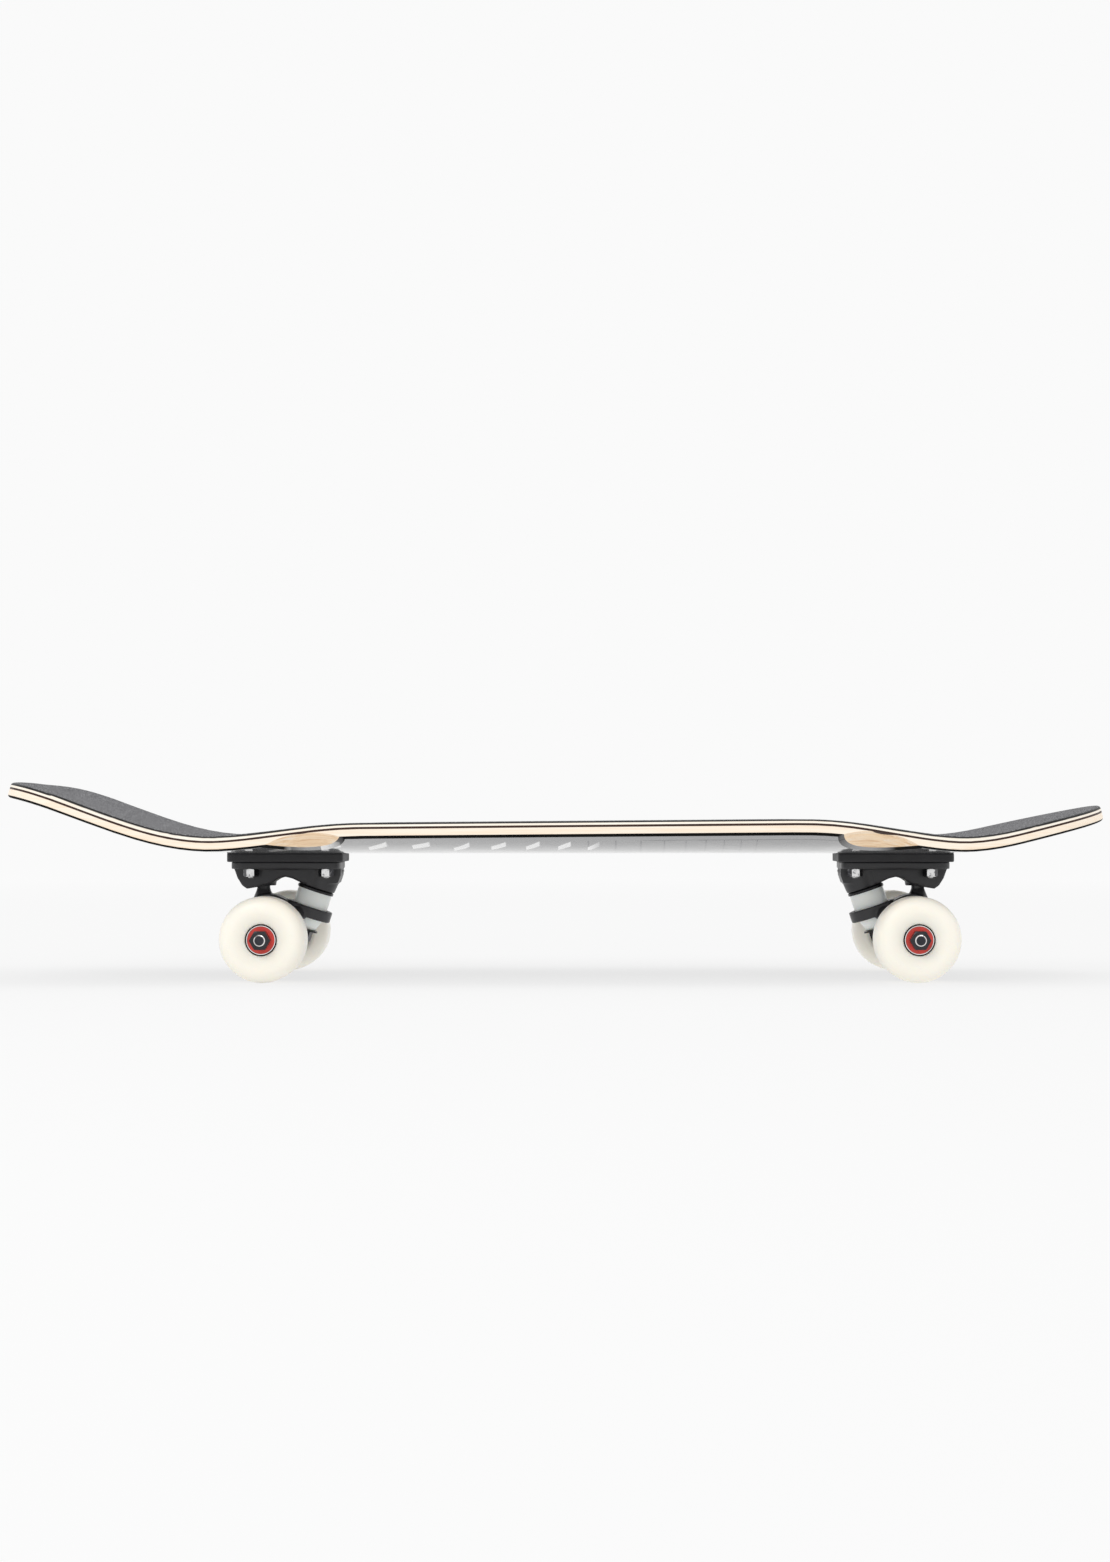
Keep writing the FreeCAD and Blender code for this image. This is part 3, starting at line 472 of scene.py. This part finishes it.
def rubber_finish(name, colour, roughness):
    """Moulded rubber or plastic with a fine texture."""
    finish = Finish(name, colour, roughness, Specular_IOR_Level=0.35)
    texture = finish.noise(scale=1300.0, roughness=0.6)
    cloud = finish.noise(scale=90.0, detail=2.0)
    lighter = tuple(min(channel * 1.5 + 0.004, 1.0) for channel in colour)
    finish.colour(finish.ramp(cloud, [(0.3, colour), (0.8, lighter)]))
    smooth, dull = roughness - 0.05, roughness + 0.08
    finish.roughness(finish.levels(cloud, 0.3, 0.7, to_low=smooth, to_high=dull))
    finish.bump(texture, distance=0.03 * MM, strength=0.6)
    return finish.material


def threaded_steel(name, colour, axis, pitch, top):
    """Bright steel with a thread below the height top."""
    finish = Finish(name, colour, 0.25, Metallic=1.0)
    fade = 1 * MM
    finish.thread(axis, pitch, finish.levels(finish.place("Z"), top + fade, top))
    return finish.material


MAPLE = {
    "edge": (0.97, 0.87, 0.74),
    "streak": (0.92, 0.72, 0.53),
    "face": (1.0, 0.76, 0.51),
    "grain": (0.72, 0.45, 0.25),
}
PALE_MAPLE = {
    "edge": (0.98, 0.92, 0.82),
    "streak": (0.93, 0.8, 0.64),
    "face": (0.85, 0.66, 0.45),
    "grain": (0.6, 0.38, 0.2),
}
DYED_MAPLE = {
    "edge": (0.03, 0.01, 0.006),
    "streak": (0.05, 0.018, 0.01),
    "face": (0.06, 0.03, 0.02),
    "grain": (0.03, 0.012, 0.008),
}
NEAR_BLACK = (0.022, 0.022, 0.024)
FINISHES = {
    "grit": grip_finish(),
    "maple": wood_finish("maple", **MAPLE),
    "dyed_ply": wood_finish("dyed_ply", **DYED_MAPLE),
    "painted_ply": painted_ply_finish(),
    "hardware_steel": metal_finish("hardware_steel", (0.5, 0.5, 0.5), 0.22),
    "black_steel": metal_finish("black_steel", NEAR_BLACK, 0.3, metallic=0.6),
    "riser_rubber": rubber_finish("riser_rubber", NEAR_BLACK, 0.5),
    "black_casting": casting_finish("black_casting"),
    "black_urethane": rubber_finish("black_urethane", (0.02, 0.02, 0.02), 0.5),
    "grey_urethane": urethane_finish(
        "grey_urethane", colour=(0.9, 0.93, 0.9), shade=(0.84, 0.87, 0.84), roughness=0.3
    ),
    "axle_steel": metal_finish("axle_steel", (0.55, 0.55, 0.56), 0.3),
    "dark_steel": metal_finish("dark_steel", (0.055, 0.055, 0.06), 0.3),
    "white_urethane": urethane_finish(
        "white_urethane", colour=(0.97, 0.925, 0.83), shade=(0.955, 0.905, 0.8), roughness=0.32
    ),
    "red_rubber": rubber_finish("red_rubber", (0.52, 0.045, 0.035), 0.35),
    "nylon": rubber_finish("nylon", (0.75, 0.74, 0.7), 0.5),
}
POLISHED = metal_finish("polished race", (0.95, 0.9, 0.89), 0.1)
# Dead black on the outer rim of each race face: partly the race's dark steel, partly painted shadow
# in the gap to the wheel.
BLACKENED_AND_SHADED = metal_finish("blackened and shaded race", (0.003, 0.003, 0.003), 0.8, metallic=0.0)
AXLE_CORE = metal_finish("axle end", (0.06, 0.06, 0.07), 0.5)
SCREW_PITCH = 0.8 * MM
SCREW_THREAD_TOP = 0.09
KINGPIN_PITCH = 1.06 * MM
KINGPIN_THREAD_TOP = 0.045
UP = (0, 0, 1)

SLOTS = {part["node"]: part["material_slot"] for part in frame["record"]["subparts"]}
for name, thing in NODES.items():
    thing.data.materials.clear()
    thing.data.materials.append(FINISHES[SLOTS[name]])
NODES["ply_6"].data.materials[0] = wood_finish("upper maple", **PALE_MAPLE)
# The top ply's rounded top edge is painted black as shadow along the grip tape.
NODES["ply_7"].data.materials[0] = wood_finish("top maple", **PALE_MAPLE, shadow_painted_from=0.36)
NODES["mounting_nuts"].data.materials[0] = nut_finish()
NODES["mounting_bolts"].data.materials[0] = threaded_steel(
    "screw steel", (0.7, 0.7, 0.7), UP, SCREW_PITCH, SCREW_THREAD_TOP
)

# ------------------------------------------------------------------ piece helpers

SMOOTH_BELOW = math.radians(32)


def new_piece(name, mesh, body, slot, *replaced):
    """A piece that stands for CAD nodes and rides on a body, if one is given."""
    piece = bpy.data.objects.new(name, mesh)
    scene.collection.objects.link(piece)
    if body:
        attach(piece, body)
    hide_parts(*replaced)
    return piece


def softened(corners, steps=6):
    """Corners (along, radius, fillet, band) with each fillet worked out as points on an arc.

    A fillet is the length that it takes off each side. A band numbers the finish from that
    corner to the next.
    """
    points = []
    count = len(corners)
    for i, (along, radius, fillet, band) in enumerate(corners):
        here = Vector((along, radius))
        if not fillet:
            points.append((along, radius, band))
            continue
        before = Vector(corners[i - 1][:2])
        after = Vector(corners[(i + 1) % count][:2])
        inward = (here - before).normalized()
        outward = (after - here).normalized()
        turn = inward.angle(outward)
        handle = 4 / 3 * math.tan(turn / 4) * fillet / math.tan(turn / 2)
        start, end = here - inward * fillet, here + outward * fillet
        for step in range(steps + 1):
            t = step / steps
            spot = (
                start * (1 - t) ** 3
                + (start + inward * handle) * 3 * t * (1 - t) ** 2
                + (end - outward * handle) * 3 * t**2 * (1 - t)
                + end * t**3
            )
            points.append((spot.x, spot.y, band))
    return points


def lathe(name, places, corners, finishes, around=96):
    """Solids turned to one section.

    Places are (centre, axis). Corners are as in softened, in millimetres, and run round the
    closed section.
    """
    section = softened(corners)
    count = len(section)
    shape = bmesh.new()
    for centre, axis in places:
        axis = Vector(axis).normalized()
        side = axis.orthogonal().normalized()
        up = axis.cross(side)
        rings = []
        for i in range(around):
            turn = 2 * math.pi * i / around
            out = side * math.cos(turn) + up * math.sin(turn)
            rings.append(
                [
                    shape.verts.new(centre + axis * along * MM + out * radius * MM)
                    for along, radius, _ in section
                ]
            )
        for i in range(around):
            first, second = rings[i], rings[(i + 1) % around]
            for k in range(count):
                m = (k + 1) % count
                on_axis = section[k][1] < 1e-6 and section[m][1] < 1e-6
                if not on_axis:
                    face = shape.faces.new((first[k], first[m], second[m], second[k]))
                    face.material_index = section[k][2]
    bmesh.ops.remove_doubles(shape, verts=shape.verts, dist=1e-7)
    bmesh.ops.recalc_face_normals(shape, faces=shape.faces)
    mesh = bpy.data.meshes.new(name)
    shape.to_mesh(mesh)
    shape.free()
    for finish in finishes:
        mesh.materials.append(finish)
    mesh.shade_smooth()
    mesh.set_sharp_from_angle(angle=SMOOTH_BELOW)
    return mesh


def cast_copy(node, body, voxel, rounds, filling=()):
    """A casting's own shape with its edges and inner corners rounded off as a mould leaves them.

    Voxel is the fineness in metres and rounds is how often it is smoothed. Filling is a list of
    point clouds whose hulls are cast in with it.
    """
    shape = bmesh.new()
    shape.from_mesh(NODES[node].data)
    for cloud in filling:
        hull = bmesh.new()
        for point in cloud:
            hull.verts.new(point)
        bmesh.ops.convex_hull(hull, input=hull.verts)
        lump = bpy.data.meshes.new("hull")
        hull.to_mesh(lump)
        hull.free()
        shape.from_mesh(lump)
    mesh = bpy.data.meshes.new(node + "_cast")
    shape.to_mesh(mesh)
    shape.free()
    mesh.materials.append(FINISHES[SLOTS[node]])
    piece = new_piece(node + "_cast", mesh, body, SLOTS[node], node)
    remesh = piece.modifiers.new("remesh", "REMESH")
    remesh.mode = "VOXEL"
    remesh.voxel_size = voxel
    soften = piece.modifiers.new("soften", "SMOOTH")
    soften.factor = 0.5
    soften.iterations = rounds
    posed = piece.evaluated_get(bpy.context.evaluated_depsgraph_get())
    baked = bpy.data.meshes.new_from_object(posed)
    piece.modifiers.clear()
    piece.data = baked
    baked.shade_smooth()


# ------------------------------------------------------------------ trucks

# The kingpin's frame, in millimetres inboard of the axle and above the ground, and its lean.
KINGPIN_START = (28.26, 63.38)
KINGPIN_TILT = math.radians(18.5)

# Half of the saddle that closes the hanger round the axle, in millimetres inboard of the axle's
# middle, across and up.
SADDLE = [
    (-10.5, 22, -5),
    (-11.5, 22, 6),
    (-12.5, 11, 20),
    (-4.0, 11, 22),
    (0.5, 22, 11),
    (4.0, 14, 6),
    (4.6, 14, -4),
    (3.0, 22, -7),
    (0.0, 22, -9.5),
    (-6.0, 22, -9),
]

# The bushings' sections along the kingpin, then where each is held by the deck's side and where
# it moves with the hanger.
BARREL = [
    (0.8, 5.0, 0, 0),
    (0.8, 12.4, 1.0, 0),
    (8.5, 12.6, 2.0, 0),
    (16.2, 12.4, 1.0, 0),
    (16.2, 5.0, 0, 0),
]
CONE = [
    (18.1, 5.0, 0, 0),
    (18.1, 12.0, 1.0, 0),
    (21.1, 11.9, 1.0, 0),
    (29.6, 8.7, 1.0, 0),
    (29.6, 5.0, 0, 0),
]
BUSHINGS = {
    "board_side_bushing": (BARREL, 0.8, 16.2),
    "road_side_bushing": (CONE, 29.6, 18.1),
}

# The axle, in millimetres: its end has a chamfered rim and a thread, and its middle is plain.
SHANK, BRIGHT_RIM, DARK_CORE = range(3)
AXLE_RADIUS = 4.0
RIM_RADIUS = 3.3
RIM_LENGTH = 0.7
CREST_RADIUS = 3.98
ROOT_RADIUS = 3.55
THREAD_START = 1.0
AXLE_PITCH = 1.06
CREST_TO_ROOT = 0.53
CREST_TO_SHANK = 0.6
RIDGES = 14


def make_bushing(end, part, start, axis):
    corners, held, moved = BUSHINGS[part]
    node = f"{end}_{part}"
    mesh = lathe(node + "_moulded", [(start, axis)], corners, [FINISHES["grey_urethane"]])
    piece = new_piece(node + "_moulded", mesh, None, "grey_urethane", node)
    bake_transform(piece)


def make_axle(end):
    low, high = box(end + "_axle")
    half = (high.y - low.y) / 2 / MM
    section = [
        (-half, 0, 0, DARK_CORE),
        (-half, RIM_RADIUS, 0, BRIGHT_RIM),
        (RIM_LENGTH - half, AXLE_RADIUS, 0, SHANK),
    ]
    crests = [THREAD_START + i * AXLE_PITCH for i in range(RIDGES)]
    shank_start = THREAD_START + CREST_TO_SHANK + RIDGES * AXLE_PITCH
    for crest in crests:
        section.append((crest - half, CREST_RADIUS, 0, SHANK))
        section.append((crest + CREST_TO_ROOT - half, ROOT_RADIUS, 0, SHANK))
    section.append((shank_start - half, CREST_RADIUS, 0, SHANK))
    section.append((half - shank_start, CREST_RADIUS, 0, SHANK))
    for crest in reversed(crests):
        section.append((half - crest - CREST_TO_ROOT, ROOT_RADIUS, 0, SHANK))
        section.append((half - crest, CREST_RADIUS, 0, SHANK))
    section += [
        (half - RIM_LENGTH, AXLE_RADIUS, 0, BRIGHT_RIM),
        (half, RIM_RADIUS, 0, DARK_CORE),
        (half, 0, 0, DARK_CORE),
    ]
    mesh = lathe(
        end + "_axle_threaded",
        [(AXLES[end], Vector((0, 1, 0)))],
        section,
        [FINISHES["axle_steel"], POLISHED, AXLE_CORE],
        around=64,
    )
    new_piece(end + "_axle_threaded", mesh, end + "_hanger_body", "axle_steel", end + "_axle")


def make_truck(end):
    inboard = INBOARD[end]
    saddle = [
        AXLES[end] + Vector((inboard * inward, side * across, rise)) * MM
        for inward, across, rise in SADDLE
        for side in (-1, 1)
    ]
    cast_copy(end + "_baseplate", "deck", voxel=0.6 * MM, rounds=5)
    cast_copy(
        end + "_hanger", end + "_hanger_body", voxel=0.7 * MM, rounds=7, filling=[saddle]
    )
    cast_copy(end + "_riser_pad", "deck", voxel=0.6 * MM, rounds=2)
    axis = Vector((-inboard * math.sin(KINGPIN_TILT), 0, -math.cos(KINGPIN_TILT)))
    inward, height = KINGPIN_START
    start = Vector((AXLES[end].x + inboard * inward * MM, 0, height * MM))
    for part in BUSHINGS:
        make_bushing(end, part, start, axis)
    NODES[end + "_kingpin"].data.materials[0] = threaded_steel(
        end + " kingpin steel", (0.5, 0.5, 0.5), tuple(axis), KINGPIN_PITCH, KINGPIN_THREAD_TOP
    )
    make_axle(end)


for end in ENDS:
    make_truck(end)

# ------------------------------------------------------------------ wheels and bearings

# Sections in millimetres outward from the middle of the wheel, and of the bearing.
TYRE = [
    (-8.0, 11.05, 0, 0),
    (-9.2, 14.5, 1.2, 0),
    (-16.8, 18.5, 1.2, 0),
    (-18.0, 20.5, 0.8, 0),
    (-18.0, 30.0, 8.9, 0),
    (18.0, 30.0, 8.9, 0),
    (18.0, 19.0, 1.4, 0),
    (17.3, 15.5, 1.4, 0),
    (16.2, 11.6, 0.3, 0),
    (15.7, 11.05, 0, 0),
    (9.0, 11.05, 0, 0),
    (9.0, 8.0, 0, 0),
    (-1.0, 8.0, 0, 0),
    (-1.0, 11.05, 0, 0),
]
GROUND, GLINT, SHADED = range(3)
RACE_FINISHES = [FINISHES["dark_steel"], POLISHED, BLACKENED_AND_SHADED]
RACE = [
    (-3.5, 9.6, 0, GLINT),
    (-3.5, 10.1, 0, SHADED),
    (-3.5, 10.98, 0, GROUND),
    (3.5, 10.98, 0, SHADED),
    (3.5, 10.1, 0, GLINT),
    (3.5, 9.6, 0, GROUND),
    (2.6, 9.6, 0, GROUND),
    (2.6, 8.9, 0, GROUND),
    (-2.6, 8.9, 0, GROUND),
    (-2.6, 9.6, 0, GROUND),
]
BEARING_CENTRES = (12.5, -4.5)


def make_wheel(corner, outward):
    body = corner + "_wheel_body"
    centre = middle(corner + "_wheel")
    tyre = lathe(
        corner + "_wheel_cast",
        [(centre, outward)],
        TYRE,
        [FINISHES["white_urethane"]],
        around=160,
    )
    new_piece(corner + "_wheel_cast", tyre, body, "white_urethane", corner + "_wheel")
    places = [(centre + outward * distance * MM, outward) for distance in BEARING_CENTRES]
    name = corner + "_outer_rings_ground"
    rings = lathe(name, places, RACE, RACE_FINISHES, around=128)
    new_piece(name, rings, body, "dark_steel", corner + "_bearing_outer_rings")


for end, hand in CORNERS:
    make_wheel(f"{end}_{hand}", Vector((0, OUTWARD[hand], 0)))

# ------------------------------------------------------------------ floor

FLOOR_REACH = 40
FLOOR_ALBEDO = 0.19
# The lamps' share of the light on the floor, which falls to nothing over these metres.
LAMP_SHARE = 0.34
LAMP_NEAR = 0.5
LAMP_REACH = 3.2


def make_floor():
    """A pale floor that matches the backdrop where nothing shades it."""
    mesh = bpy.data.meshes.new("floor")
    signs = ((-1, -1), (1, -1), (1, 1), (-1, 1))
    rim = [(x * FLOOR_REACH, y * FLOOR_REACH, 0) for x, y in signs]
    mesh.from_pydata(rim, [], [(0, 1, 2, 3)])
    floor = bpy.data.objects.new("floor", mesh)
    scene.collection.objects.link(floor)
    finish = Finish("floor", (FLOOR_ALBEDO,) * 3, 1.0, Specular_IOR_Level=0.0)
    finish.shader.inputs["Emission Color"].default_value = (1, 1, 1, 1)
    distance = finish.add("VectorMath", Vector=finish.coordinates)
    distance.operation = "LENGTH"
    lamps = finish.levels(
        distance.outputs["Value"], LAMP_NEAR, LAMP_REACH, to_low=LAMP_SHARE, to_high=0.0
    )
    reflected = finish.product(finish.math("ADD", lamps, WHITE), FLOOR_ALBEDO)
    missing = finish.difference(WHITE, reflected)
    finish.put(finish.shader.inputs["Emission Strength"], missing)
    mesh.materials.append(finish.material)


make_floor()
